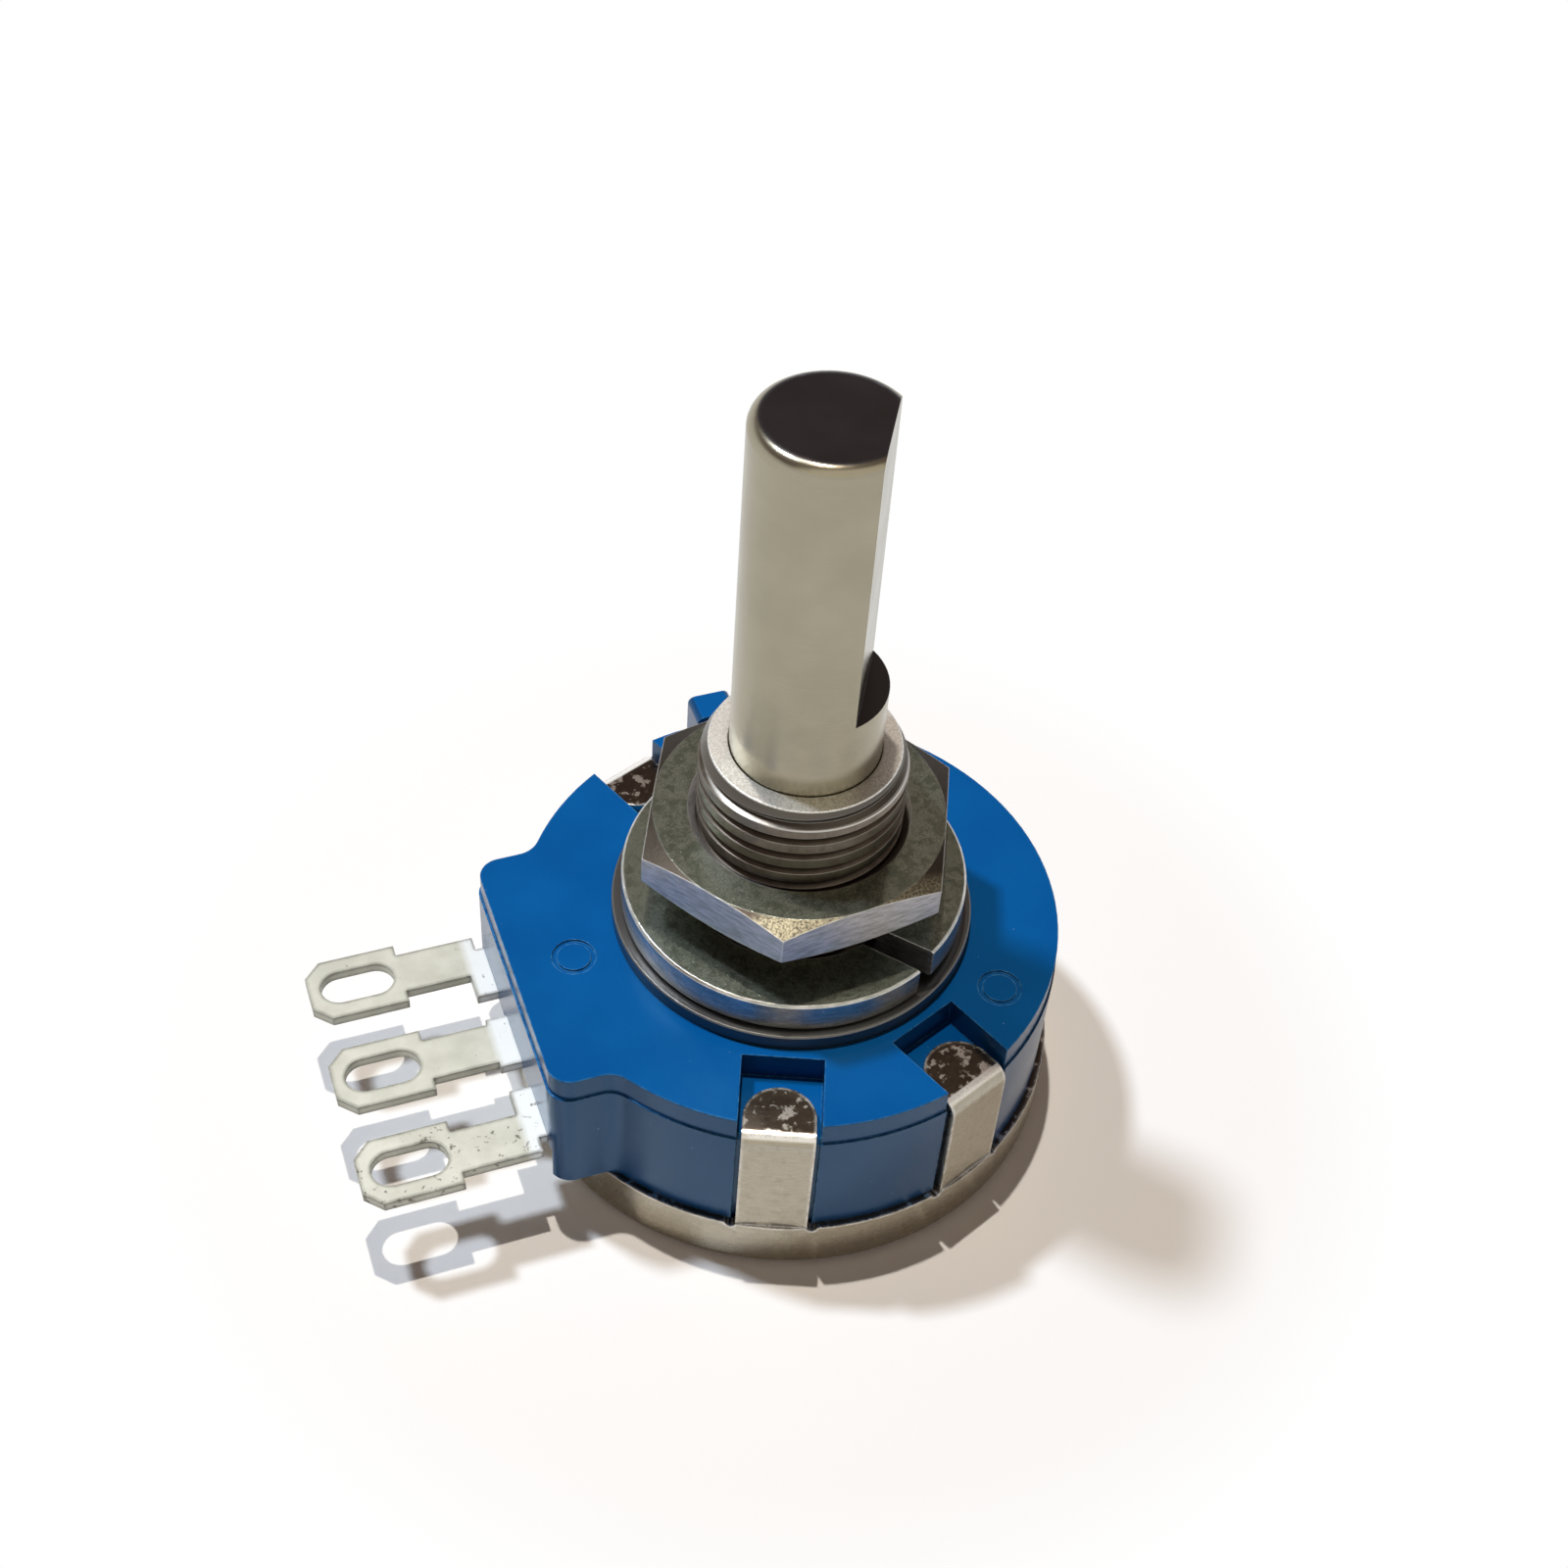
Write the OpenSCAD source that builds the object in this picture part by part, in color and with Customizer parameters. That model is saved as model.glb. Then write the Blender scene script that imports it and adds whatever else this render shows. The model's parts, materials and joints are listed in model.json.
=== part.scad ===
// Panel potentiometer: one turn, moulded housing closed by a tabbed metal
// rear cover, threaded bushing, D shaft, three solder lugs.
// Origin: centre of the rear cover's outer face. +Z runs along the shaft,
// the terminals point along -X. Millimetres.

/* [Housing] */
// Diameter of the moulded housing
body_d = 24; // [22:0.5:27]
// Height of the housing's front face above the rear cover's outer face
body_top = 9.8; // [9.6:0.1:12]
// Thickness of the housing's front wall
front_wall = 2.3; // [2.1:0.1:2.6]
// Wall between the rotor space and the outside
side_wall = 1.8; // [1.6:0.1:2]
// Width of the terminal block
block_w = 13; // [12.6:0.2:14]
// How far the terminal block stands out beyond the housing's round wall
block_out = 0.8; // [0.6:0.1:1.6]
// Depth of the parting line below the front face
seam_drop = 1.2; // [0.8:0.1:1.6]
// Height of the locating lug above the front face
lug_h = 2.1; // [1:0.1:4]
// Width of the locating lug
lug_w = 2; // [1.4:0.1:3]

/* [Rear cover] */
// Sheet thickness of the rear cover
cover_t = 0.45; // [0.3:0.05:0.6]
// Height of the cover's rim
rim_h = 2.8; // [2.2:0.1:3]
// How far the rim stands proud of the housing
rim_proud = 0.3; // [0.2:0.05:0.5]
// Width of a clinching tab
tab_w = 3.1; // [2.4:0.1:3.6]
// Length of a tab's folded end, from the rim's outside
tab_len = 3; // [2.6:0.1:3.3]
// Depth of the recess that a tab is folded into
groove_depth = 1.35; // [1.1:0.05:1.5]
// Angle of the tabs on each side of the terminals' cross axis
tab_spread = 22; // [17:0.5:26]

/* [Terminals] */
// Distance between neighbouring terminals
pitch = 5.08; // [4.8:0.02:5.2]
// Sheet thickness of the terminals
lug_t = 0.5; // [0.4:0.05:0.6]
// Width of a terminal's eyelet end
head_w = 3.3; // [3:0.1:3.6]
// Length of a terminal's eyelet end
head_len = 4.2; // [3.8:0.1:5]
// Width of the eyelet slot
slot_w = 1.75; // [1.2:0.05:2]
// Length of the eyelet slot
slot_len = 3.3; // [2.4:0.1:3.5]
// Width of the shank behind the eyelet end
shank_w = 2.15; // [1.8:0.05:2.6]
// Width of a terminal where it enters the block
root_w = 2.7; // [2.4:0.1:3]
// Length of the terminals outside the block
lug_out = 8.1; // [7:0.1:11]
// Inward step of the two outer terminals' roots
root_step = 1; // [0.6:0.1:1.2]

/* [Bushing] */
// Diameter over the thread
thread_d = 8.8; // [8:0.1:9.5]
// Pitch of the thread
thread_pitch = 0.88; // [0.7:0.02:1.1]
// Depth of the thread
thread_depth = 0.3; // [0.2:0.05:0.45]
// Length of the bushing above the housing's front face
bush_len = 10.4; // [9:0.1:14]
// Diameter of the bushing's seating flange
flange_d = 15.9; // [15.2:0.1:16.2]
// Thickness of the seating flange
flange_t = 0.75; // [0.5:0.05:1.2]

/* [Nut and lock washer] */
// Width of the nut across its flats
nut_af = 12.5; // [11:0.5:14]
// Thickness of the nut
nut_t = 2; // [1.6:0.1:2.4]
// Height of the nut's underside above the flange
nut_lift = 3.65; // [2.9:0.05:4.2]
// Turn of the nut, seen from the shaft end
nut_turn = 4.8; // [0:0.2:60]
// Outside diameter of the lock washer
washer_d = 15.1; // [13.6:0.1:15.6]
// Inside diameter of the lock washer
washer_bore = 9.8; // [9.6:0.1:10.6]
// Thickness of the lock washer
washer_t = 1.55; // [1.2:0.05:1.8]
// Height that one end of the lock washer springs above the other
washer_spring = 0.45; // [0.2:0.05:0.7]
// Width of the cut through the lock washer
washer_gap = 0.85; // [0.5:0.05:1.5]
// Place of the cut round the washer
washer_turn = -64.5; // [-180:0.5:180]
// Slant of the cut from the radius
washer_skew = 16; // [0:1:20]

/* [Shaft] */
// Diameter of the shaft
shaft_d = 6.35; // [6:0.05:6.4]
// Length of the shaft above the bushing's end
shaft_out = 16.5; // [12:0.1:30]
// Length of the flat on the shaft
flat_len = 13.05; // [8:0.05:13.2]
// Depth of the flat
flat_depth = 1; // [0.6:0.05:1.4]
// Rounding of the shaft's end
shaft_round = 0.6; // [0.2:0.1:0.8]
// Turn of the shaft from the middle of its travel
shaft_turn = -30; // [-150:1:150]
// Total mechanical travel of the shaft
travel = 300; // [270:1:310]

/* [Element] */
// Thickness of the element board
board_t = 1.2; // [1:0.1:1.4]
// Height of the element board's face above the rear cover's outer face
board_top = 4.6; // [4.5:0.1:4.8]
// Distance of the resistive track's middle from the rotor space's wall
track_inset = 3.2; // [2.9:0.1:3.6]
// Width of the resistive track
track_w = 1.4; // [1:0.1:1.6]
// Middle radius of the collector ring
collector_r = 4.2; // [4:0.1:4.4]

/* [Hidden] */
$fn = 96;
eps = 0.01;

// Housing
body_r = body_d / 2;
block_reach = body_r + block_out;
over = 1;
seam_step = 0.08;
lug_back = 0.1;
block_corner_r = 1;
block_fillet_r = 1.2;
ceiling_z = body_top - front_wall;
rotor_space_r = body_r - side_wall;
board_ledge = 0.7;
board_seat_r = rotor_space_r + board_ledge;
hood_wall = 0.6;
spigot_play = 0.05;
sheet_t = 0.25;
mark_inset = 2;
mark_r = body_r - mark_inset;
mark_d = 1.9;
mark_line = 0.2;
mark_depth = 0.08;
mark_angles = [-45, 45, 180];
lug_depth = 1.5;
lug_crown = 0.35;

// Rear cover
cover_r = body_r + rim_proud;
rim_inner_r = cover_r - cover_t;
rim_round = 0.5;
skirt_play = 0.05;
tab_face_r = cover_r - 0.15;
tab_fold_r = 0.75;
tab_root = 1.2;
tab_play = 0.2;
tab_angles = [90 - tab_spread, 90 + tab_spread, -90 + tab_spread, -90 - tab_spread];
groove_w = tab_w + 2 * tab_play;
tab_tip = cover_r - tab_len;
groove_past = 0.9;
groove_end = tab_tip - groove_past;
fold_relief = 0.2;
wall_recess_r = tab_face_r - cover_t - tab_play / 2;
groove_floor = body_top - groove_depth;
relief_r = 0.22;

// Terminals
lug_z = board_top;
lug_reach = block_reach + lug_out;
lug_inset = 1.7;
lug_inner_end = rotor_space_r - lug_inset;
root_out = 0.95;
root_start = block_reach + root_out;
shank_lap = 0.6;
slot_back = 0.1;
head_chamfer = 0.75;
rivet_r = 0.7;
rivet_head_r = 1.05;
rivet_head_t = 0.35;
rivet_inset = 1.1;
rivet_x = -(lug_inner_end + rivet_inset);
rivet_edge = 0.2;
rivet_play = 0.12;
lug_places = [pitch, 0, -pitch];
root_places = [pitch - root_step, 0, -(pitch - root_step)];

// Element board
ear_play = 0.1;
ear_w = block_w - 2 * hood_wall - 2 * ear_play;
ear_back = 0.25;
ear_reach = block_reach - ear_back;
board_play = 0.1;
board_r = board_seat_r - board_play;
slot_play = 0.05;
print_t = 0.04;
track_r = rotor_space_r - track_inset;
track_gap = 38;
electrode_span = 10;
land_w = 1.5;
board_peg_r = 0.6;
board_peg_inset = 1;
board_peg_at = rotor_space_r - board_peg_inset;
board_peg_head_r = 1;
board_peg_head_t = 0.4;
board_peg_angles = [0, 75, -75];
board_peg_pad_t = 0.8;
board_peg_rise = 0.6;
board_peg_bite = 0.2;
collector_half = 0.6;

// Bushing
thread_r = thread_d / 2;
bush_top = body_top + bush_len;
flange_top = body_top + flange_t;
bush_lead = 0.75;
bush_lead_in = 0.35;
edge_break = 0.1;
neck_len = 0.35;
neck_cut = 0.3;
thread_start = flange_top + neck_len + neck_cut;
thread_end = bush_top - bush_lead;
thread_groove_w = 0.45 * thread_pitch;
thread_root_w = 0.1 * thread_pitch;
thread_turns = floor((thread_end - thread_start) / thread_pitch);
spigot_r = 5;
stake_r = 5.7;
stake_t = 0.3;
shaft_play = 0.05;
bore_r = shaft_d / 2 + shaft_play;
bore_lead = 0.1;
clip_pocket_r = 4.1;
clip_pocket_top = ceiling_z + 0.45;

// Nut
nut_turned = 20;
nut_mouth = 0.35;
thread_play = 0.02;

// Shaft and rotor
shaft_r = shaft_d / 2;
shaft_end = bush_top + shaft_out;
clip_t = 0.5;
thrust_t = 0.15;
clip_groove_r = 2.55;
clip_r = 3.95;
clip_mouth = 3.6;
thrust_play = 0.02;
clip_top = clip_pocket_top - thrust_t - thrust_play;
clip_bottom = clip_top - clip_t;
clip_play = 0.02;
tenon_r = 2.7;
tenon_flat = 2.1;
stake_head_r = 2.9;
stake_head_t = 0.3;
rotor_play = 2;
carrier_r = rotor_space_r - rotor_play;
carrier_bottom = board_top + 1;
carrier_t = 1.4;
tenon_end = carrier_bottom - stake_head_t;
hub_r = 3.9;
stop_tab_drop = 0.1;
stop_tab_half = 10;
stop_tab_out = 1.2;
stop_reach = carrier_r + stop_tab_out;
stop_tab_lap = 0.5;
stop_play = 1.5;
stop_clear = 0.25;
stop_inner = carrier_r + stop_clear;
stop_half = 180 - travel / 2 - stop_tab_half - stop_play;
spring_t = 0.2;
spring_inner_r = stake_head_r + 0.4;
spring_outer_r = 5.1;
spring_arm_w = 2.2;
spring_arm_past = 0.5;
contact_r = 0.35;
contact_gap = 0.1;
carrier_pin_r = 0.35;
carrier_pin_at = spring_outer_r - 0.8;
carrier_pin_h = 0.6;

// Rear cover: a pressed pan whose four tabs fold into the housing's recesses
module cover_profile() {
    difference() {
        union() {
            translate([0, 0]) square([cover_r - rim_round, cover_t]);
            translate([rim_inner_r, rim_round]) square([cover_t, rim_h - rim_round]);
            intersection() {
                translate([cover_r - rim_round, rim_round]) circle(r = rim_round, $fn = 48);
                translate([cover_r - rim_round, 0]) square(rim_round);
            }
        }
        translate([0, cover_t]) square([rim_inner_r, rim_h]);
    }
}

module cover_tab() {
    fold_centre_r = tab_face_r - tab_fold_r;
    fold_centre_z = groove_floor + cover_t - tab_fold_r;
    tip_r = tab_w / 2;
    translate([tab_face_r - cover_t, -tab_w / 2, rim_h - tab_root])
        cube([cover_t, tab_w, fold_centre_z - rim_h + tab_root]);
    translate([fold_centre_r, tab_w / 2, fold_centre_z]) rotate([90, 0, 0])
        tab_fold();
    translate([tab_tip + tip_r, -tab_w / 2, groove_floor])
        cube([fold_centre_r - tab_tip - tip_r, tab_w, cover_t]);
    translate([tab_tip + tip_r, 0, groove_floor]) cylinder(r = tip_r, h = cover_t);
}

module tab_fold() {
    linear_extrude(height = tab_w) intersection() {
        difference() {
            circle(r = tab_fold_r, $fn = 48);
            circle(r = tab_fold_r - cover_t, $fn = 48);
        }
        square(tab_fold_r);
    }
}

module rear_cover() {
    color([0.72, 0.70, 0.65]) difference() {
        union() {
            rotate_extrude() cover_profile();
            for (a = tab_angles) rotate([0, 0, a]) cover_tab();
        }
        for (a = tab_angles, side = [-1, 1]) rotate([0, 0, a])
            translate([rim_inner_r - cover_t, side * (tab_w / 2 + relief_r), rim_h])
                rotate([0, 90, 0]) cylinder(r = relief_r, h = 4 * cover_t, $fn = 24);
    }
}

// Insulating sheet between the cover and the rivet heads
module insulating_sheet() {
    color([0.80, 0.72, 0.52]) translate([0, 0, cover_t])
        cylinder(r = rim_inner_r - skirt_play, h = sheet_t);
}

// Plan of the housing: a disc that runs into the terminal block
module housing_plan(inset = 0) {
    r = body_r - inset;
    half = block_w / 2 - inset;
    reach = block_reach - inset;
    corner = block_corner_r;
    circle(r = r, $fn = 180);
    translate([-reach, -half + corner]) square([reach, 2 * half - 2 * corner]);
    translate([-reach + corner, -half]) square([reach - corner, 2 * half]);
    for (side = [-1, 1]) {
        translate([-reach + corner, side * (half - corner)]) circle(r = corner, $fn = 48);
        block_fillet(r, half, side);
    }
}

// Fillet where a side of the block runs into the disc
module block_fillet(r, half, side) {
    fr = block_fillet_r;
    cx = -sqrt(pow(r + fr, 2) - pow(half + fr, 2));
    k = r / (r + fr);
    difference() {
        polygon([[cx, side * half], [cx * k, side * (half + fr) * k],
                 [cx * k, side * (half - fr)], [cx, side * (half - fr)]]);
        translate([cx, side * (half + fr)]) circle(r = fr, $fn = 48);
    }
}

module tab_recess() {
    // Fold recess in the front face
    translate([groove_end, -groove_w / 2, groove_floor])
        cube([body_r, groove_w, groove_depth + over]);
    // Upright recess down the wall, its top edge broken inside the fold
    translate([wall_recess_r, -groove_w / 2, 0]) cube([body_r, groove_w, body_top]);
    translate([wall_recess_r, groove_w / 2, groove_floor]) rotate([90, 0, 0])
        linear_extrude(height = groove_w)
            polygon([[-fold_relief, eps], [eps, eps], [eps, -fold_relief]]);
}

module ejector_mark() {
    translate([mark_r, 0, body_top - mark_depth]) difference() {
        cylinder(d = mark_d, h = over, $fn = 48);
        translate([0, 0, -eps]) cylinder(d = mark_d - 2 * mark_line, h = 2 * over, $fn = 48);
    }
}

module locating_lug() {
    reach = body_r - seam_step - lug_back;
    translate([-lug_w / 2, reach - lug_depth, body_top - eps])
        cube([lug_w, lug_depth, lug_h - lug_crown + eps]);
    translate([0, reach - lug_depth, body_top + lug_h - lug_crown]) rotate([-90, 0, 0])
        linear_extrude(height = lug_depth) intersection() {
            translate([-lug_w / 2, -lug_crown]) square([lug_w, lug_crown]);
            union() {
                for (side = [-1, 1]) translate([side * (lug_w / 2 - lug_crown), 0])
                    circle(r = lug_crown, $fn = 32);
                translate([-lug_w / 2 + lug_crown, -lug_crown])
                    square([lug_w - 2 * lug_crown, lug_crown]);
            }
        }
}

// Wedge of a ring about the axis, from one angle to another
module ring_sector(r_in, r_out, from, to, h) {
    rotate([0, 0, from]) rotate_extrude(angle = to - from)
        translate([r_in, 0]) square([r_out - r_in, h]);
}

module housing_inside() {
    // Space for the rotor, and the seat of the board below it
    translate([0, 0, board_top]) cylinder(r = rotor_space_r, h = ceiling_z - board_top);
    cylinder(r = board_seat_r, h = board_top);
    // Room under the hood for the board's ear, and slots for the terminals
    translate([-block_reach - over, -ear_w / 2 - ear_play, 0])
        cube([block_reach + over, ear_w + 2 * ear_play, board_top]);
    for (y = root_places)
        translate([-block_reach - over, y - root_w / 2 - slot_play, board_top - eps])
            cube([block_reach, root_w + 2 * slot_play, lug_t + slot_play + eps]);
    // Pockets for the rivet heads
    for (y = root_places) translate([rivet_x, y, board_top - eps])
        cylinder(r = rivet_head_r + rivet_play, h = lug_t + rivet_head_t + rivet_play, $fn = 48);
    // Hole for the bushing's spigot
    cylinder(r = spigot_r + spigot_play, h = body_top + over);
}

module housing() {
    color([0.02, 0.35, 0.65]) {
        difference() {
            union() {
                translate([0, 0, rim_h]) linear_extrude(height = body_top - seam_drop - rim_h)
                    housing_plan();
                translate([0, 0, body_top - seam_drop]) linear_extrude(height = seam_drop)
                    housing_plan(seam_step);
                translate([0, 0, cover_t + sheet_t])
                    cylinder(r = rim_inner_r - skirt_play, h = rim_h);
                locating_lug();
            }
            housing_inside();
            for (a = tab_angles) rotate([0, 0, a]) tab_recess();
            for (a = mark_angles) rotate([0, 0, a]) ejector_mark();
        }
        // Stop that the rotor's tab meets at both ends of its travel
        translate([0, 0, carrier_bottom])
            ring_sector(stop_inner, rotor_space_r + 0.2, 180 - stop_half, 180 + stop_half,
                        ceiling_z - carrier_bottom + 0.2);
        // Pegs that hold the board, headed over behind it
        for (a = board_peg_angles) rotate([0, 0, a]) translate([board_peg_at, 0, 0]) {
            translate([0, 0, board_top - board_t - eps])
                cylinder(r = board_peg_r, h = board_t + board_peg_rise, $fn = 32);
            translate([-board_peg_head_r, -board_peg_head_r, board_top])
                cube([rotor_space_r - board_peg_at + board_peg_head_r + board_peg_bite,
                      2 * board_peg_head_r, board_peg_pad_t]);
            translate([0, 0, board_top - board_t - board_peg_head_t])
                cylinder(r = board_peg_head_r, h = board_peg_head_t, $fn = 32);
        }
    }
}

// Element board: a disc with an ear that carries the terminals
module element_board() {
    color([0.45, 0.27, 0.16]) translate([0, 0, board_top - board_t]) difference() {
        union() {
            cylinder(r = board_r, h = board_t);
            translate([-ear_reach, -ear_w / 2, 0]) cube([ear_reach, ear_w, board_t]);
        }
        translate([0, 0, -over]) for (y = root_places)
            translate([rivet_x, y, 0]) cylinder(r = rivet_r, h = board_t + 2 * over, $fn = 32);
        translate([0, 0, -over]) for (a = board_peg_angles) rotate([0, 0, a])
            translate([board_peg_at, 0, 0])
                cylinder(r = board_peg_r, h = board_t + 2 * over, $fn = 32);
    }
}

module resistive_track() {
    half = 180 - track_gap - electrode_span;
    color([0.10, 0.10, 0.11]) translate([0, 0, board_top])
        ring_sector(track_r - track_w / 2, track_r + track_w / 2, -half, half, print_t);
}

// Silver end of the track with its land out to the outer terminal
module track_electrode(side) {
    from = 180 - track_gap - electrode_span;
    land_y = root_places[0];
    translate([0, 0, board_top]) intersection() {
        union() {
            mirror([0, side < 0 ? 1 : 0, 0]) {
                ring_sector(track_r - track_w / 2, track_r + track_w / 2,
                            from, 180 - track_gap, print_t);
                translate([-lug_inner_end + eps, land_y - land_w / 2, 0])
                    cube([lug_inner_end + track_r * cos(180 - track_gap), land_w, print_t]);
            }
        }
        cylinder(r = board_r - 0.3, h = print_t);
    }
}

module electrode_start() { color([0.80, 0.80, 0.80]) track_electrode(1); }
module electrode_end() { color([0.80, 0.80, 0.80]) track_electrode(-1); }

// Collector ring with its land out to the middle terminal
module collector_ring() {
    color([0.80, 0.80, 0.80]) translate([0, 0, board_top]) difference() {
        union() {
            cylinder(r = collector_r + collector_half, h = print_t);
            translate([-lug_inner_end + eps, -land_w / 2, 0])
                cube([lug_inner_end - collector_r, land_w, print_t]);
        }
        translate([0, 0, -over]) cylinder(r = collector_r - collector_half, h = 2 * over);
    }
}

// Solder lug: riveted pad, root, shank and slotted eyelet end
module terminal(place, root_place) {
    head_start = lug_reach - head_len;
    half = head_w / 2;
    slot_r = slot_w / 2;
    slot_far = lug_reach - (head_len - slot_len) / 2 - slot_back - slot_r;
    slot_near = slot_far - slot_len + slot_w;
    translate([0, 0, lug_z]) difference() {
        linear_extrude(height = lug_t) difference() {
            union() {
                translate([-root_start, root_place - root_w / 2])
                    square([root_start - lug_inner_end, root_w]);
                translate([-head_start - eps, place - shank_w / 2])
                    square([head_start - root_start + shank_lap, shank_w]);
                polygon([[-head_start, place - half], [-head_start, place + half],
                         [-lug_reach + head_chamfer, place + half],
                         [-lug_reach, place + half - head_chamfer],
                         [-lug_reach, place - half + head_chamfer],
                         [-lug_reach + head_chamfer, place - half]]);
            }
            translate([-slot_far, place]) circle(r = slot_r, $fn = 32);
            translate([-slot_near, place]) circle(r = slot_r, $fn = 32);
            translate([-slot_far, place - slot_r]) square([slot_far - slot_near, slot_w]);
        }
        translate([rivet_x, root_place, -over])
            cylinder(r = rivet_r, h = lug_t + 2 * over, $fn = 32);
    }
}

module terminal_start() { color([0.86, 0.86, 0.80]) terminal(lug_places[0], root_places[0]); }
module terminal_wiper() { color([0.86, 0.86, 0.80]) terminal(lug_places[1], root_places[1]); }
module terminal_end() { color([0.86, 0.86, 0.80]) terminal(lug_places[2], root_places[2]); }

// Rivet that clamps a terminal to the board
module rivet(y) {
    translate([rivet_x, y, board_top - board_t]) {
        cylinder(r = rivet_r, h = board_t + lug_t, $fn = 32);
        translate([0, 0, -rivet_head_t]) cylinder(r = rivet_head_r, h = rivet_head_t, $fn = 32);
        translate([0, 0, board_t + lug_t])
            cylinder(r1 = rivet_head_r, r2 = rivet_head_r - rivet_edge, h = rivet_head_t, $fn = 32);
    }
}

module rivet_start() { color([0.75, 0.66, 0.40]) rivet(root_places[0]); }
module rivet_wiper() { color([0.75, 0.66, 0.40]) rivet(root_places[1]); }
module rivet_end() { color([0.75, 0.66, 0.40]) rivet(root_places[2]); }

// Outline of one groove of the thread, from its lower edge up
function groove_points(z) = [
    [thread_r, z], [thread_r - thread_depth, z + (thread_groove_w - thread_root_w) / 2],
    [thread_r - thread_depth, z + (thread_groove_w + thread_root_w) / 2],
    [thread_r, z + thread_groove_w]];

// Bushing: threaded barrel, seating flange, and a spigot headed over inside
// The thread's turns are rings here: one groove a pitch below the next crest
module threaded_bushing() {
    face_r = thread_r - bush_lead_in;
    grooves = [for (i = [thread_turns - 1:-1:0]) each groove_points(thread_end - (i + 1) * thread_pitch)];
    color([0.50, 0.49, 0.46]) difference() {
        rotate_extrude() polygon([
            [0, ceiling_z - stake_t], [stake_r, ceiling_z - stake_t], [stake_r, ceiling_z],
            [spigot_r, ceiling_z], [spigot_r, body_top],
            [flange_d / 2, body_top], [flange_d / 2, flange_top - edge_break],
            [flange_d / 2 - edge_break, flange_top], [thread_r - neck_cut, flange_top],
            [thread_r - neck_cut, flange_top + neck_len],
            [thread_r, thread_start], each grooves, [thread_r, thread_end],
            [face_r, bush_top - edge_break], [face_r - edge_break, bush_top], [0, bush_top]]);
        translate([0, 0, ceiling_z - 2 * stake_t]) cylinder(r = bore_r, h = bush_top);
        translate([0, 0, ceiling_z - 2 * stake_t])
            cylinder(r = clip_pocket_r, h = clip_pocket_top - ceiling_z + 2 * stake_t);
        translate([0, 0, bush_top - bore_lead])
            cylinder(r1 = bore_r, r2 = bore_r + bore_lead + eps, h = bore_lead + eps);
    }
}

// Half of the split washer, from the cut round to the far side
module washer_half(side) {
    inner = washer_bore / 2;
    outer = washer_d / 2;
    edge = edge_break;
    tilt = asin(washer_spring / 2 / washer_d);
    translate([-outer, 0, 0]) rotate([0, -side * tilt, 0]) translate([outer, 0, 0])
        rotate([0, 0, side > 0 ? 0 : 180]) rotate_extrude(angle = 180)
            polygon([[inner, edge], [inner + edge, 0], [outer - edge, 0], [outer, edge],
                     [outer, washer_t - edge], [outer - edge, washer_t],
                     [inner + edge, washer_t], [inner, washer_t - edge]]);
}

// Split spring washer, cut askew, one end sprung above the other
module lock_washer() {
    color([0.52, 0.51, 0.47])
        translate([0, 0, flange_top + washer_spring / 2]) rotate([0, 0, washer_turn]) difference() {
            union() {
                washer_half(1);
                washer_half(-1);
            }
            translate([washer_bore / 2 + (washer_d - washer_bore) / 4, 0, -over])
                rotate([0, 0, washer_skew])
                    translate([-washer_d / 4, -washer_gap / 2, 0])
                        cube([washer_d / 2, washer_gap, washer_t + 2 * over]);
        }
}

// Nut with both faces turned back at the corners
module hex_nut() {
    corner_r = nut_af / 2 / cos(30);
    turned = (corner_r - nut_af / 2) * tan(nut_turned);
    bore = thread_r + thread_play;
    mouth = nut_mouth;
    color([0.55, 0.54, 0.50])
        translate([0, 0, flange_top + nut_lift]) rotate([0, 0, nut_turn]) difference() {
            intersection() {
                cylinder(r = corner_r, h = nut_t, $fn = 6);
                rotate_extrude() polygon([[0, 0], [nut_af / 2, 0],
                    [corner_r + eps, turned], [corner_r + eps, nut_t - turned],
                    [nut_af / 2, nut_t], [0, nut_t]]);
            }
            translate([0, 0, -over]) cylinder(r = bore, h = nut_t + 2 * over);
            translate([0, 0, nut_t - mouth])
                cylinder(r1 = bore, r2 = bore + mouth + eps, h = mouth + eps);
            translate([0, 0, -eps])
                cylinder(r1 = bore + mouth + eps, r2 = bore, h = mouth + eps);
        }
}

// Shaft: D end, clip groove, and a double-D tenon headed over at its end
module shaft() {
    color([0.66, 0.63, 0.56]) rotate([0, 0, shaft_turn]) difference() {
        union() {
            rotate_extrude() {
                polygon([
                    [0, clip_top], [shaft_r, clip_top], [shaft_r, shaft_end - shaft_round],
                    [shaft_r - shaft_round, shaft_end - shaft_round],
                    [shaft_r - shaft_round, shaft_end], [0, shaft_end]]);
                intersection() {
                    translate([shaft_r - shaft_round, shaft_end - shaft_round])
                        circle(r = shaft_round, $fn = 48);
                    translate([shaft_r - shaft_round, shaft_end - shaft_round])
                        square(shaft_round);
                }
            }
            translate([0, 0, clip_bottom]) cylinder(r = clip_groove_r, h = clip_t + eps);
            intersection() {
                translate([0, 0, tenon_end])
                    cylinder(r = tenon_r, h = clip_bottom - tenon_end);
                translate([-tenon_flat, -tenon_r, 0]) cube([2 * tenon_flat, 2 * tenon_r, body_top]);
            }
            translate([0, 0, tenon_end]) cylinder(r = stake_head_r, h = stake_head_t);
        }
        translate([shaft_r - flat_depth, -shaft_d, shaft_end - flat_len])
            cube([shaft_d, 2 * shaft_d, flat_len + over]);
    }
}

module thrust_washer() {
    color([0.78, 0.62, 0.30]) translate([0, 0, clip_top + thrust_play]) difference() {
        cylinder(r = clip_r, h = thrust_t);
        translate([0, 0, -over]) cylinder(r = bore_r, h = 2 * over);
    }
}

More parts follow.
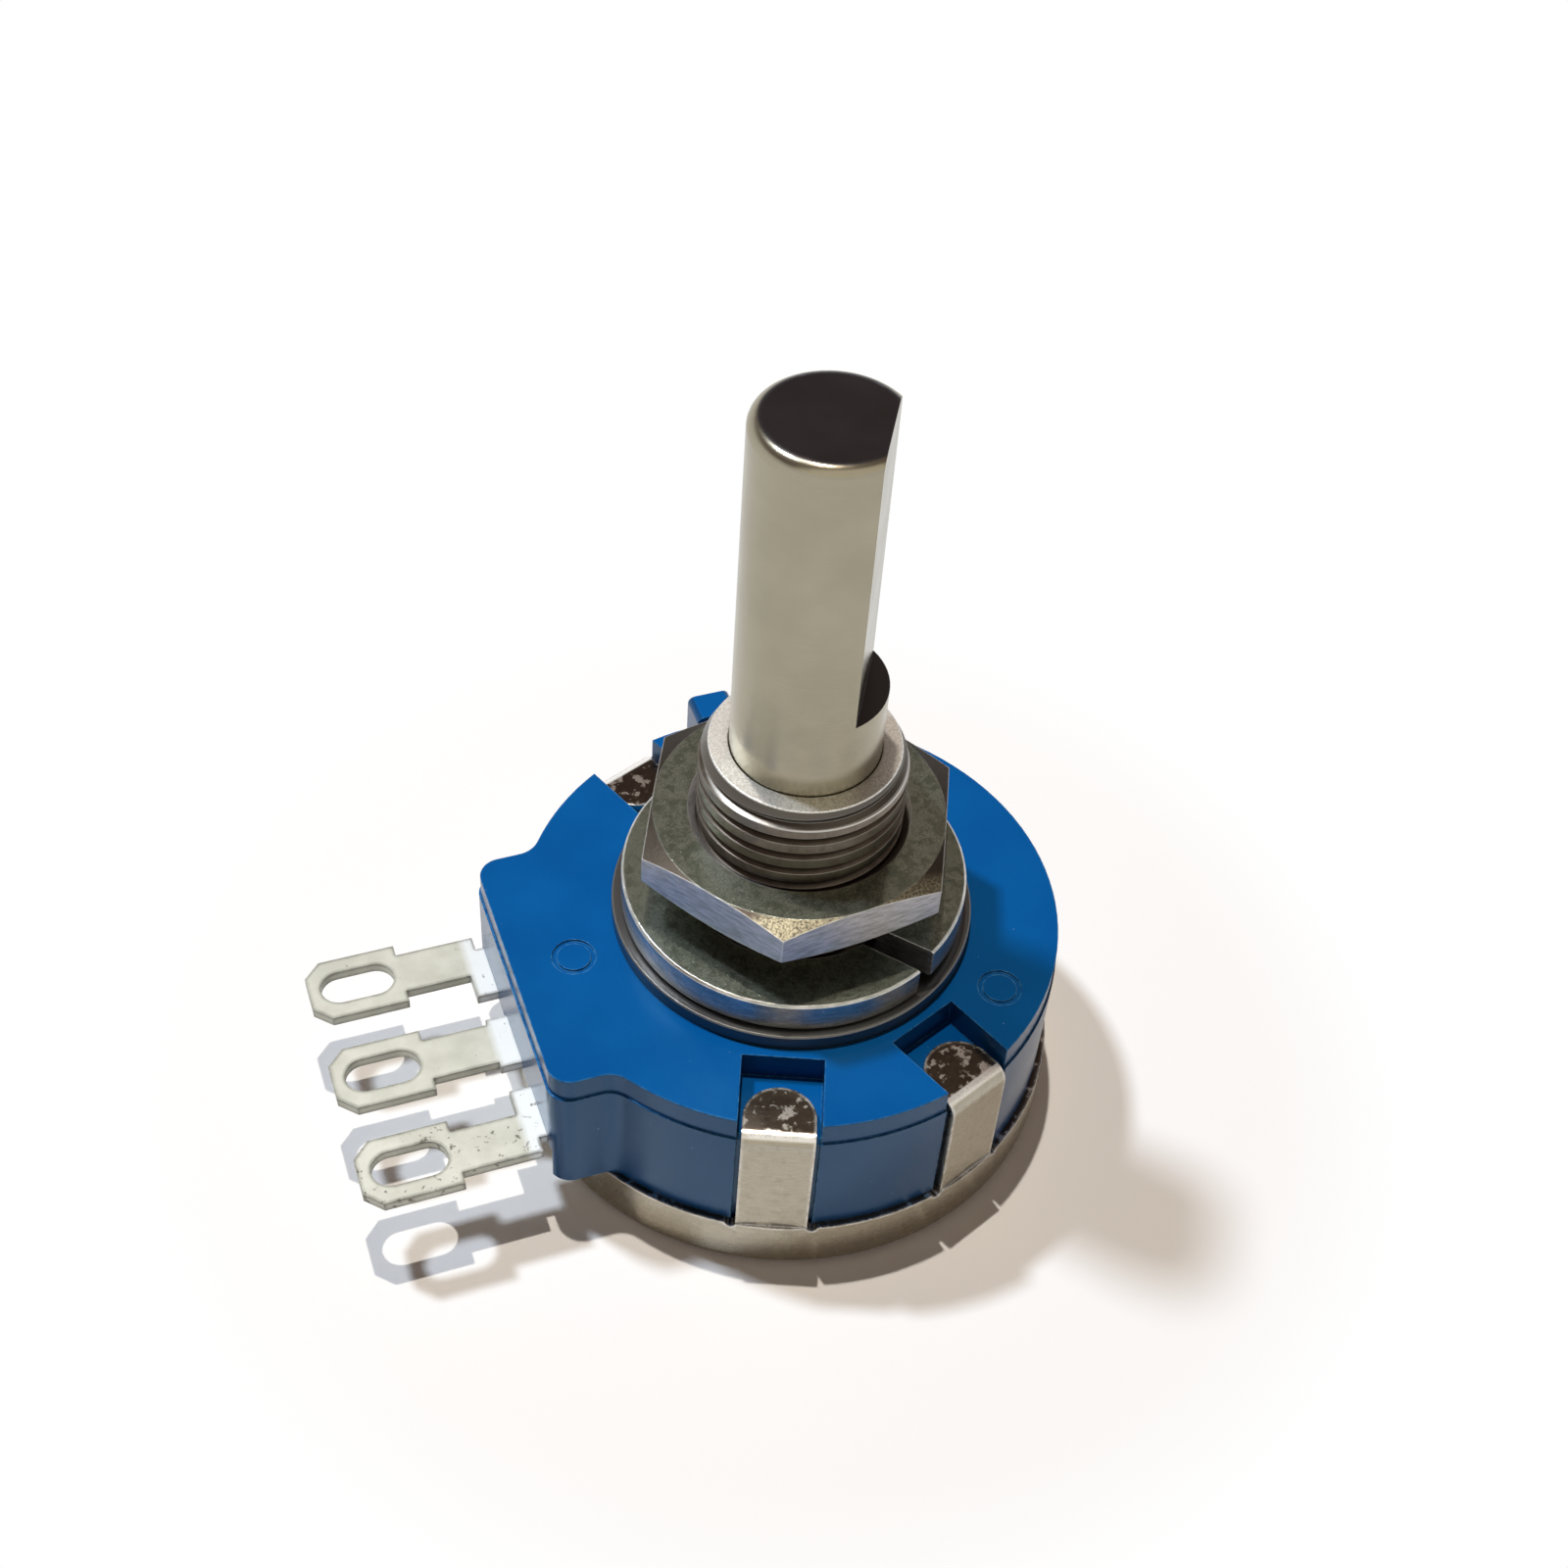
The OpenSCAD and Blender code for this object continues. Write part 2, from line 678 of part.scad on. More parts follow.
// Open clip in the shaft's groove
module retaining_clip() {
    color([0.30, 0.30, 0.32]) rotate([0, 0, shaft_turn])
        translate([0, 0, clip_bottom]) difference() {
            cylinder(r = clip_r, h = clip_t);
            translate([0, 0, -over]) cylinder(r = clip_groove_r + clip_play, h = clip_t + 2 * over);
            translate([-clip_r - over, -clip_mouth / 2, -over])
                cube([clip_r + over, clip_mouth, clip_t + 2 * over]);
        }
}

// Moulded carrier with the stop tab, its hub and the pins of the spring
module wiper_carrier() {
    color([0.90, 0.88, 0.82]) rotate([0, 0, shaft_turn]) difference() {
        union() {
            translate([0, 0, carrier_bottom]) cylinder(r = carrier_r, h = carrier_t);
            translate([0, 0, carrier_bottom])
                cylinder(r = hub_r, h = clip_bottom - carrier_bottom);
            translate([0, 0, carrier_bottom + stop_tab_drop])
                ring_sector(carrier_r - stop_tab_lap, stop_reach, -stop_tab_half, stop_tab_half,
                            carrier_t - 2 * stop_tab_drop);
            for (side = [-1, 1])
                translate([side * carrier_pin_at, 0, carrier_bottom - spring_t])
                    cylinder(r = carrier_pin_r, h = carrier_pin_h, $fn = 24);
        }
        intersection() {
            translate([0, 0, tenon_end]) cylinder(r = tenon_r, h = clip_top - tenon_end);
            translate([-tenon_flat, -tenon_r, 0]) cube([2 * tenon_flat, 2 * tenon_r, body_top]);
        }
    }
}

// Spring wiper: one contact on the track, one on the collector ring
module wiper_spring() {
    low = board_top + print_t + contact_gap;
    color([0.82, 0.66, 0.34]) rotate([0, 0, shaft_turn]) {
        difference() {
            union() {
                translate([0, 0, carrier_bottom - spring_t])
                    cylinder(r = spring_outer_r, h = spring_t);
                translate([0, -spring_arm_w / 2, carrier_bottom - spring_t])
                    cube([track_r + spring_arm_past, spring_arm_w, spring_t]);
            }
            translate([0, 0, carrier_bottom - over]) cylinder(r = spring_inner_r, h = 2 * over);
            for (side = [-1, 1]) translate([side * carrier_pin_at, 0, carrier_bottom - over])
                cylinder(r = carrier_pin_r, h = 2 * over, $fn = 24);
        }
        for (x = [track_r, -collector_r]) translate([x, 0, low])
            rounded_contact(carrier_bottom - spring_t - low);
    }
}

module rounded_contact(h) {
    translate([0, 0, contact_r]) sphere(r = contact_r, $fn = 32);
    translate([0, 0, contact_r]) cylinder(r = contact_r, h = h - contact_r + eps, $fn = 32);
}

rear_cover();
insulating_sheet();
housing();
element_board();
resistive_track();
electrode_start();
electrode_end();
collector_ring();
terminal_start();
terminal_wiper();
terminal_end();
rivet_start();
rivet_wiper();
rivet_end();
threaded_bushing();
lock_washer();
hex_nut();
shaft();
thrust_washer();
retaining_clip();
wiper_carrier();
wiper_spring();
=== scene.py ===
"""Studio scene of a panel potentiometer that stands on its rear cover."""
import json
from math import cos, pi, radians, sin, sqrt

import bmesh
import bpy
from mathutils import Matrix, Vector


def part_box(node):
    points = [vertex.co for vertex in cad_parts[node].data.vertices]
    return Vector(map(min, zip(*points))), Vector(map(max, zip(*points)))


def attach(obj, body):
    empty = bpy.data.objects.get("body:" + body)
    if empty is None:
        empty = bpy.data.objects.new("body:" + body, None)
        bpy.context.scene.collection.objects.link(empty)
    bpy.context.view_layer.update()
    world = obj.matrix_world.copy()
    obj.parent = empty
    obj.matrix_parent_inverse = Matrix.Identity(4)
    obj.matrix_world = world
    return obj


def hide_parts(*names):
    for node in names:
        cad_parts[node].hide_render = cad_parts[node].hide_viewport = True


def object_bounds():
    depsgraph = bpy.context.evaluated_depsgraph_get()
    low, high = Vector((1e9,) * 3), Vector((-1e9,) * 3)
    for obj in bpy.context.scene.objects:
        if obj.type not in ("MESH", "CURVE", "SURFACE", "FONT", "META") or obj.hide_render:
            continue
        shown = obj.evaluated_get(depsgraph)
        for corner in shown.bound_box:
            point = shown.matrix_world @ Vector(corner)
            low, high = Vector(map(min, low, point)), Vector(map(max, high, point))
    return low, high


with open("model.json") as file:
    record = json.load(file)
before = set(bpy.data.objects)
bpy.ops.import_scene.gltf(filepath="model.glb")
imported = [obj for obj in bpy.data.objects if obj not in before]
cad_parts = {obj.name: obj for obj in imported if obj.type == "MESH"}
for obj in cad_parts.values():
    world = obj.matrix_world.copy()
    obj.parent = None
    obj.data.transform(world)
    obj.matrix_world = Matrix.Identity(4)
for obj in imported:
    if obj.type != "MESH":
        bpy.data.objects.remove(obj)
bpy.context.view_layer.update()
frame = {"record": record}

MM = 0.001
mounts = {mount["name"]: mount for mount in frame["record"]["mounts"]}

# Camera, in the part's frame: where it stands round the shaft and what it looks at
CAMERA_AZIMUTH = radians(-113.8)
CAMERA_ELEVATION = radians(46.21)
CAMERA_DISTANCE = 94.6 * MM
CAMERA_PAN = radians(0.45)
CAMERA_ROLL = radians(5.15)
CAMERA_LENS = 51.75
CAMERA_SENSOR = 36
AIM_HEIGHT = 17.51 * MM

# Lamps: azimuth and elevation in degrees, then distance, width, power and colour
KEY_LAMP = (100, 81.7, 0.6, 0.01, 1.85, (1.0, 0.91, 0.79))
FILL_LAMP = (131, 62, 0.6, 0.055, 2.1, (0.80, 0.89, 1.0))

# Room that metal mirrors, and its light on everything else; its heights are angles in degrees
WALL_COLOUR = (0.93, 0.93, 0.95)
CEILING_COLOUR = (0.187, 0.147, 0.125)
FRONT_COLOUR = (0.95, 0.90, 0.80)
ROOM_COLOUR = (0.08, 0.044, 0.027)
WALL_TOP = 10
CEILING_START = 30
FRONT_EDGE = 12
FRONT_FULL = 30

# White floor: its shadows fade out between the last two distances from the shaft's axis
FLOOR_COLOUR = (0.86, 0.86, 0.86)
FLOOR_LIFT = 0.025
FLOOR_SIZE = 3.0
FLOOR_DROP = 0.02 * MM
SHADOWS_WITHIN = 22 * MM
WHITE_FROM = 30 * MM

# Thread of the bushing, in millimetres; each turn starts with its crest
THREAD_PITCH = 0.88
THREAD_DEPTH = 0.3
THREAD_COLUMNS = 128
THREAD_LEAD_IN = 1.5
SPARE_TURNS = 3
CREST_END = 0.55
ROOT_START = 0.725
ROOT_END = 0.825

# Tabs of the rear cover, in millimetres and degrees
SHEET_T = 0.45
RIM_H = 2.8
RIM_CUT_ABOVE = 0.005
TAB_ANGLES = (-112, -68, 68, 112)
TAB_W = 3.1
TAB_TIP = 9.3
TAB_FACE = 12.15
TAB_FOLD = 0.75
TAB_ROOT = 2.4
TAB_COLUMNS = 24
FOLD_STEPS = 10

# Stretch over which a painted highlight turns the terminals whiter towards the block, in
# millimetres
ROOT_FROM = -13.9
ROOT_TO = -13.5

# Stretch over which the nut's front corner gets a painted glint, in millimetres
GLINT_FROM = -5.0
GLINT_TO = -5.5

# Rest of the bushing, in millimetres
FLANGE_T = 0.75
NECK_CUT = 0.3
NECK_LENGTH = 0.35
END_CHAMFER_LENGTH = 0.75
END_CHAMFER_DEPTH = 0.35
EDGE_BREAK = 0.06
BORE_PLAY = 0.02
BORE_CHAMFER = 0.03
SPIGOT_R = 5.0
STAKE_R = 5.7
STAKE_T = 0.3
POCKET_R = 4.1
POCKET_RISE = 0.45
MERGE_WITHIN = 0.0005

# Angles over which an edge stays sharp, in degrees
BUSHING_SHARP = 25
COVER_SHARP = 30

# Bare tin on the cover's spots, also the colour of the painted glint on its bends and edges
PALE_TIN_AND_GLINT = (0.95, 0.94, 0.90)

# Plated fasteners: name, finish, clean and stained tone, flanks' tone, how dull the flanks are
# and the stains' share
PLATED_STEEL = (
    ("hex_nut", "nut_metal", (0.42, 0.45, 0.38), (0.13, 0.155, 0.11), (0.72, 0.70, 0.71), 0.4, 0.6),
    ("lock_washer", "washer_metal", (0.38, 0.41, 0.34), (0.12, 0.145, 0.10),
     (0.62, 0.62, 0.60), 0.12, 0.5),
)

# Pieces inside the housing: names, then finish, light and dark tone, roughness and, for boards,
# the size of their fibres in millimetres
INNER_BOARDS = (
    ("element_board", "phenolic", (0.21, 0.09, 0.035), (0.13, 0.05, 0.02), 0.5, 0.3),
    ("insulating_sheet", "fibre_sheet", (0.60, 0.48, 0.25), (0.48, 0.37, 0.18), 0.7, 0.3),
    ("resistive_track", "carbon_ink", (0.012, 0.012, 0.014), (0.03, 0.03, 0.03), 0.5, 0.1),
    ("wiper_carrier", "natural_moulding", (0.80, 0.77, 0.68), (0.70, 0.67, 0.58), 0.4, 0.8),
)
INNER_METALS = (
    (("electrode_start", "electrode_end", "collector_ring"),
     "silver_ink", (0.75, 0.75, 0.74), (0.60, 0.60, 0.59), 0.4),
    (("rivet_start", "rivet_wiper", "rivet_end"),
     "rivet_brass", (0.62, 0.47, 0.17), (0.48, 0.35, 0.12), 0.3),
    (("wiper_spring", "thrust_washer"),
     "spring_bronze", (0.72, 0.48, 0.20), (0.58, 0.37, 0.15), 0.25),
    (("retaining_clip",), "spring_steel", (0.14, 0.14, 0.15), (0.07, 0.07, 0.075), 0.35),
)


class Shader:
    """One material's node tree; each method adds a node and returns its output."""

    def __init__(self, name):
        self.material = bpy.data.materials.new(name)
        self.material.use_nodes = True
        self.tree = self.material.node_tree
        self.bsdf = self.tree.nodes["Principled BSDF"]
        coordinates = self.tree.nodes.new("ShaderNodeTexCoord")
        self.position = coordinates.outputs["Object"]

    def put(self, socket, value):
        """Links an output to a socket, or writes a plain value on it."""
        if isinstance(value, bpy.types.NodeSocket):
            self.tree.links.new(value, socket)
        elif isinstance(value, (tuple, list)) and len(value) == 3 and socket.type == "RGBA":
            socket.default_value = (*value, 1)
        else:
            socket.default_value = value

    def set(self, name, value):
        self.put(self.bsdf.inputs[name], value)

    def math(self, operation, a, b=0.0):
        node = self.tree.nodes.new("ShaderNodeMath")
        node.operation = operation
        self.put(node.inputs[0], a)
        self.put(node.inputs[1], b)
        return node.outputs[0]

    def stretch(self, vector, scale):
        node = self.tree.nodes.new("ShaderNodeVectorMath")
        node.operation = "MULTIPLY"
        self.put(node.inputs[0], vector)
        node.inputs[1].default_value = scale
        return node.outputs[0]

    def split(self, vector):
        node = self.tree.nodes.new("ShaderNodeSeparateXYZ")
        self.put(node.inputs[0], vector)
        return node.outputs

    def join(self, x, y, z):
        node = self.tree.nodes.new("ShaderNodeCombineXYZ")
        for socket, value in zip(node.inputs, (x, y, z)):
            self.put(socket, value)
        return node.outputs[0]

    def noise(self, size_mm, detail=4.0, rough=0.55, vector=None):
        """Noise whose blotches are about size_mm across."""
        node = self.tree.nodes.new("ShaderNodeTexNoise")
        self.put(node.inputs["Vector"], vector or self.position)
        node.inputs["Scale"].default_value = 1 / (size_mm * MM)
        node.inputs["Detail"].default_value = detail
        node.inputs["Roughness"].default_value = rough
        return node.outputs["Fac"]

    def cells(self, size_mm):
        """Distance to the nearest of the points that lie about size_mm apart."""
        node = self.tree.nodes.new("ShaderNodeTexVoronoi")
        self.put(node.inputs["Vector"], self.position)
        node.inputs["Scale"].default_value = 1 / (size_mm * MM)
        return node.outputs["Distance"]

    def span(self, value, low, high, to_low=0.0, to_high=1.0):
        """Maps low to high onto to_low to to_high, and holds what lies beyond."""
        node = self.tree.nodes.new("ShaderNodeMapRange")
        self.put(node.inputs["Value"], value)
        for name, number in (("From Min", low), ("From Max", high),
                             ("To Min", to_low), ("To Max", to_high)):
            node.inputs[name].default_value = number
        return node.outputs["Result"]

    def mix(self, factor, a, b):
        node = self.tree.nodes.new("ShaderNodeMix")
        node.data_type = "RGBA"
        self.put(node.inputs[0], factor)
        self.put(node.inputs[6], a)
        self.put(node.inputs[7], b)
        return node.outputs[2]

    def rounded(self, radius_mm):
        """Normal that runs softly over edges."""
        node = self.tree.nodes.new("ShaderNodeBevel")
        node.samples = 4
        node.inputs["Radius"].default_value = radius_mm * MM
        return node.outputs["Normal"]

    def edges(self, radius_mm):
        """1 along edges, 0 on open faces."""
        geometry = self.tree.nodes.new("ShaderNodeNewGeometry")
        node = self.tree.nodes.new("ShaderNodeVectorMath")
        node.operation = "DOT_PRODUCT"
        self.put(node.inputs[0], self.rounded(radius_mm))
        self.put(node.inputs[1], geometry.outputs["Normal"])
        return self.span(node.outputs["Value"], 0.995, 0.85)

    def painted_hollow_shade(self, reach_mm):
        """Mask for painted shade: 1 deep in corners, 0 in the open."""
        node = self.tree.nodes.new("ShaderNodeAmbientOcclusion")
        node.samples = 4
        node.inputs["Distance"].default_value = reach_mm * MM
        return self.span(node.outputs["AO"], 0.85, 0.3)

    def facing_up(self, low=0.9, high=0.97):
        """1 on level faces, 0 on steep ones."""
        geometry = self.tree.nodes.new("ShaderNodeNewGeometry")
        return self.span(self.split(geometry.outputs["Normal"])[2], low, high)

    def bump(self, height, depth_mm, edge_mm):
        """Fine relief over softly rounded edges."""
        node = self.tree.nodes.new("ShaderNodeBump")
        node.inputs["Distance"].default_value = depth_mm * MM
        self.put(node.inputs["Height"], height)
        self.put(node.inputs["Normal"], self.rounded(edge_mm))
        self.set("Normal", node.outputs["Normal"])

    def from_axis(self, x, y):
        """Distance from the shaft's axis."""
        return self.math("SQRT", self.math("ADD", self.math("MULTIPLY", x, x),
                                           self.math("MULTIPLY", y, y)))

    def turned(self, across_mm, along):
        """Coordinates that run round the shaft's axis, for turning and brushing marks."""
        x, y, z = self.split(self.position)
        angle = self.math("ARCTAN2", y, x)
        return self.join(self.math("MULTIPLY", angle, along * across_mm * MM),
                         self.from_axis(x, y), z)


def stained_metal(name, clean, stain, flank, dull, share):
    """Plated metal: stained faces, drawn flanks; painted edge highlights, a painted glint and
    painted shade.
    """
    s = Shader(name)
    blotch = s.noise(0.5, 7.0, 0.68)
    patches = s.span(blotch, 0.60 - share * 0.2, 0.66 - share * 0.16)
    fine = s.noise(0.10, 5.0, 0.7)
    drawn = s.noise(0.5, 5.0, 0.65, s.stretch(s.position, (0.6, 0.6, 3.5)))
    up = s.facing_up(0.8, 0.9)
    chamfer_band = s.math("SUBTRACT", up, s.facing_up(0.955, 0.98))
    colour = s.mix(s.math("MULTIPLY", patches, 0.6), clean, stain)
    colour = s.mix(s.span(fine, 0.44, 0.62, 0.0, 0.8), colour, stain)
    # Chamfer band painted dark, with a painted glint on its front corner
    wear_and_glint = s.mix(s.span(fine, 0.42, 0.6), (0.27, 0.245, 0.17), (0.06, 0.052, 0.04))
    at_front = s.span(s.split(s.position)[1], GLINT_FROM * MM, GLINT_TO * MM)
    colour = s.mix(chamfer_band, colour, s.mix(at_front, (0.05, 0.04, 0.03), wear_and_glint))
    side = s.mix(s.span(drawn, 0.38, 0.62), flank, s.mix(0.5, flank, stain))
    colour = s.mix(up, side, colour)
    # Painted highlights along thin edges
    colour = s.mix(s.math("MULTIPLY", s.edges(0.09), 0.85), colour, (0.90, 0.88, 0.84))
    # Painted shade in corners and crevices
    colour = s.mix(s.math("MULTIPLY", s.painted_hollow_shade(0.5), 0.5), colour, (0.05, 0.033, 0.022))
    s.set("Base Color", colour)
    s.set("Metallic", s.span(up, 0.0, 1.0, 1.0 - dull, 0.92))
    s.set("Roughness", s.math("ADD", s.span(chamfer_band, 0.0, 1.0, 0.2, 0.38),
                              s.span(fine, 0.3, 0.7, -0.04, 0.08)))
    s.bump(s.math("ADD", fine, s.math("MULTIPLY", blotch, 1.5)), 0.012, 0.06)
    return s.material


def blue_moulding():
    """Satin moulded plastic: even blue, painted shade on walls, edges pale from wear and painted
    highlight, a few pale specks.
    """
    s = Shader("blue_moulding")
    cloud = s.noise(5.0, 4.0, 0.55)
    grain = s.noise(0.14, 4.0, 0.65)
    up = s.facing_up()
    colour = s.mix(s.span(cloud, 0.35, 0.68), (0.0, 0.092, 0.335), (0.0, 0.108, 0.375))
    colour = s.mix(s.span(grain, 0.55, 0.8, 0.0, 0.25), colour, (0.0, 0.14, 0.45))
    # Walls painted darker and greyer than the top: painted shade
    colour = s.mix(up, (0.006, 0.062, 0.19), colour)
    # Pale edges: partly wear, partly painted highlight
    wear_and_glint = s.math("MULTIPLY", s.edges(0.1),
                    s.span(s.noise(0.35, 4.0), 0.42, 0.58, 0.15, 0.95))
    colour = s.mix(wear_and_glint, colour, (0.09, 0.34, 0.66))
    specks = s.math("MULTIPLY", s.span(s.cells(0.55), 0.07, 0.035),
                    s.span(s.noise(1.3, 2.0), 0.56, 0.62))
    colour = s.mix(s.math("MULTIPLY", specks, 0.6), colour, (0.25, 0.45, 0.70))
    # Painted shade in corners and crevices
    colour = s.mix(s.math("MULTIPLY", s.painted_hollow_shade(0.3), 0.15), colour, (0.0, 0.02, 0.10))
    s.set("Base Color", colour)
    s.set("Roughness", s.span(cloud, 0.3, 0.7, 0.2, 0.26))
    s.set("Specular Tint", (0.25, 0.65, 1.0, 1.0))
    s.bump(s.math("ADD", grain, s.math("MULTIPLY", cloud, 3.0)), 0.006, 0.09)
    return s.material


def tinned_metal(name, spots):
    """Dipped tin: pale and dull, a painted highlight whitening the roots, spots, dark edge lines of
    painted shade.
    """
    s = Shader(name)
    lumps = s.noise(1.2, 3.0, 0.5)
    fine = s.noise(0.13, 5.0, 0.7)
    colour = s.mix(s.span(lumps, 0.35, 0.65), (0.62, 0.625, 0.55), (0.53, 0.535, 0.46))
    # Painted highlight that whitens the terminals towards the block
    root_highlight = s.span(s.split(s.position)[0], ROOT_FROM * MM, ROOT_TO * MM)
    colour = s.mix(root_highlight, colour, (0.78, 0.82, 0.83))
    dull = s.span(s.noise(0.35, 6.0, 0.65), 0.66 - spots * 0.06, 0.70 - spots * 0.06)
    colour = s.mix(s.math("MULTIPLY", dull, 0.8), colour, (0.10, 0.085, 0.06))
    # Dark lines along the edges: painted shade
    edge_shade = s.span(s.noise(0.6, 3.0), 0.35, 0.6, 0.6, 0.85 + spots * 0.15)
    colour = s.mix(s.math("MULTIPLY", s.edges(0.3), edge_shade), colour, (0.045, 0.045, 0.03))
    s.set("Base Color", colour)
    s.set("Metallic", 0.4)
    s.set("Roughness", s.span(fine, 0.3, 0.7, 0.42, 0.55))
    s.bump(s.math("ADD", s.math("MULTIPLY", fine, 0.5), s.math("MULTIPLY", lumps, 2.0)),
           0.006, 0.05)
    return s.material


def cover_metal():
    """Tin-plated pressed sheet: brushed round its rim, painted dark and spotted where it faces up,
    painted glint on bends and edges.
    """
    s = Shader("cover_metal")
    streaks = s.noise(0.05, 3.0, 0.6, s.turned(0.05, 4.0))
    mottle = s.noise(0.4, 6.0, 0.68)
    up = s.facing_up()
    colour = s.mix(s.span(streaks, 0.3, 0.7), (0.45, 0.41, 0.33), (0.37, 0.335, 0.265))
    colour = s.mix(s.span(mottle, 0.52, 0.75, 0.0, 0.45), colour, (0.24, 0.215, 0.16))
    spots = s.span(s.noise(0.6, 6.0, 0.66), 0.55, 0.60)
    # Level faces painted dark, a painted reflection of the dim room above; the pale spots on them
    # are the sheet's own
    tops = s.mix(spots, (0.12, 0.095, 0.075), PALE_TIN_AND_GLINT)
    colour = s.mix(up, colour, tops)
    # Bright band on the bends and pale edges: painted glint
    bend = s.math("MULTIPLY", s.facing_up(0.72, 0.82),
                  s.math("SUBTRACT", 1.0, s.facing_up(0.97, 0.99)))
    rim = s.math("MULTIPLY", s.edges(0.26), s.span(s.noise(0.5, 2.0), 0.4, 0.55, 0.35, 1.0))
    rim = s.math("MAXIMUM", rim, bend)
    colour = s.mix(rim, colour, PALE_TIN_AND_GLINT)
    # Painted shade in corners and crevices
    colour = s.mix(s.math("MULTIPLY", s.painted_hollow_shade(0.25), 0.6), colour, (0.05, 0.035, 0.025))
    s.set("Base Color", colour)
    s.set("Metallic", s.math("SUBTRACT", 1.0, s.math("MULTIPLY", rim, 0.4)))
    s.set("Roughness", s.math("SUBTRACT", s.span(mottle, 0.3, 0.7, 0.24, 0.34),
                              s.math("MULTIPLY", up, 0.08)))
    s.bump(s.math("ADD", streaks, s.math("MULTIPLY", mottle, 1.5)), 0.004, 0.1)
    return s.material


def shaft_metal():
    """Satin nickel over turned steel; its cut end painted darker, partly bare and partly a painted
    reflection.
    """
    s = Shader("shaft_metal")
    rings = s.noise(0.04, 2.0, 0.6, s.turned(0.04, 0.6))
    mottle = s.noise(2.5, 5.0, 0.6)
    colour = s.mix(s.span(mottle, 0.3, 0.7), (0.375, 0.34, 0.255), (0.335, 0.305, 0.225))
    colour = s.mix(s.span(rings, 0.45, 0.75, 0.0, 0.2), colour, (0.30, 0.27, 0.20))
    # Level cut end painted darker: partly bare steel, partly a painted reflection of the dim room
    # above
    colour = s.mix(s.facing_up(), colour, (0.10, 0.095, 0.102))
    s.set("Base Color", colour)
    s.set("Metallic", 1.0)
    s.set("Roughness", s.span(mottle, 0.3, 0.7, 0.22, 0.27))
    s.bump(s.math("ADD", rings, s.math("MULTIPLY", mottle, 2.0)), 0.002, 0.05)
    return s.material


def threaded_metal():
    """Plated casting: pale cut end, painted glint on the first crest, brown thread with painted
    shade in its roots.
    """
    s = Shader("threaded_metal")
    x, y, z = s.split(s.position)
    radius = s.from_axis(x, y)
    crest = mounts["bushing_thread"]["dims"]["r_mm"] * MM
    mottle = s.noise(0.5, 6.0, 0.66)
    fine = s.noise(0.09, 4.0, 0.7)
    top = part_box("threaded_bushing")[1].z
    cone = top - END_CHAMFER_LENGTH * MM
    colour = s.mix(s.span(mottle, 0.42, 0.66), (0.20, 0.17, 0.137), (0.145, 0.12, 0.095))
    # End chamfer painted a little darker: painted shade
    colour = s.mix(s.span(z, cone, cone + 0.1 * MM), colour, (0.12, 0.107, 0.09))
    on_flange = s.span(radius, crest + 0.3 * MM, crest + 0.5 * MM)
    colour = s.mix(on_flange, colour, (0.13, 0.13, 0.13))
    # Dark thread roots: painted shade
    depth = s.span(radius, crest - THREAD_DEPTH * MM, crest - 0.04 * MM, 1.0, 0.0)
    on_barrel = s.span(z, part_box("hex_nut")[0].z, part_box("hex_nut")[1].z)
    below_cone = s.span(z, cone - 0.1 * MM, cone - 0.05 * MM, 1.0, 0.0)
    painted_root_shade = s.math("MULTIPLY", depth, s.math("MULTIPLY", on_barrel, below_cone))
    colour = s.mix(s.math("MULTIPLY", painted_root_shade, 0.75), colour, (0.05, 0.035, 0.025))
    # Bright line on the first crest: painted glint
    first = s.math("MULTIPLY", s.span(z, cone - 0.09 * MM, cone - 0.04 * MM),
                   s.span(z, cone, cone + 0.05 * MM, 1.0, 0.0))
    colour = s.mix(s.math("MULTIPLY", first, 0.75), colour, (0.80, 0.77, 0.70))
    # Painted highlights along edges
    colour = s.mix(s.math("MULTIPLY", s.edges(0.06), 0.5), colour, (0.62, 0.60, 0.55))
    end = s.span(z, top - 0.07 * MM, top - 0.03 * MM)
    face = s.mix(s.span(fine, 0.40, 0.62), (0.97, 0.96, 0.92), (0.62, 0.60, 0.55))
    colour = s.mix(end, colour, face)
    # Painted shade in corners and crevices
    colour = s.mix(s.math("MULTIPLY", s.painted_hollow_shade(0.6), 0.4), colour, (0.04, 0.03, 0.022))
    s.set("Base Color", colour)
    s.set("Metallic", s.span(end, 0.0, 1.0, 0.9, 0.95))
    s.set("Roughness", s.math("ADD", s.span(end, 0.0, 1.0, 0.3, 0.42),
                              s.span(fine, 0.3, 0.7, -0.03, 0.06)))
    s.bump(s.math("ADD", fine, mottle), 0.004, 0.04)
    return s.material


def inner_metal(name, light, dark, roughness):
    """Clean spring or rivet metal from inside the housing."""
    s = Shader(name)
    mottle = s.noise(0.7, 5.0, 0.6)
    s.set("Base Color", s.mix(s.span(mottle, 0.35, 0.7), light, dark))
    s.set("Metallic", 1.0)
    s.set("Roughness", s.span(mottle, 0.3, 0.7, roughness - 0.05, roughness + 0.1))
    s.bump(s.noise(0.12, 4.0), 0.003, 0.04)
    return s.material


def inner_board(name, light, dark, roughness, fibre_mm):
    """Pressed board, paper, ink or plain moulding from inside the housing."""
    s = Shader(name)
    fibres = s.noise(fibre_mm, 6.0, 0.65, s.stretch(s.position, (1.0, 3.0, 1.0)))
    s.set("Base Color", s.mix(s.span(fibres, 0.35, 0.68), light, dark))
    s.set("Roughness", s.span(fibres, 0.3, 0.7, roughness - 0.08, roughness + 0.08))
    s.bump(fibres, 0.01, 0.05)
    return s.material


def paint(names, material):
    """Gives CAD nodes or pieces one material."""
    for name in names:
        data = bpy.data.objects[name].data
        data.materials.clear()
        data.materials.append(material)


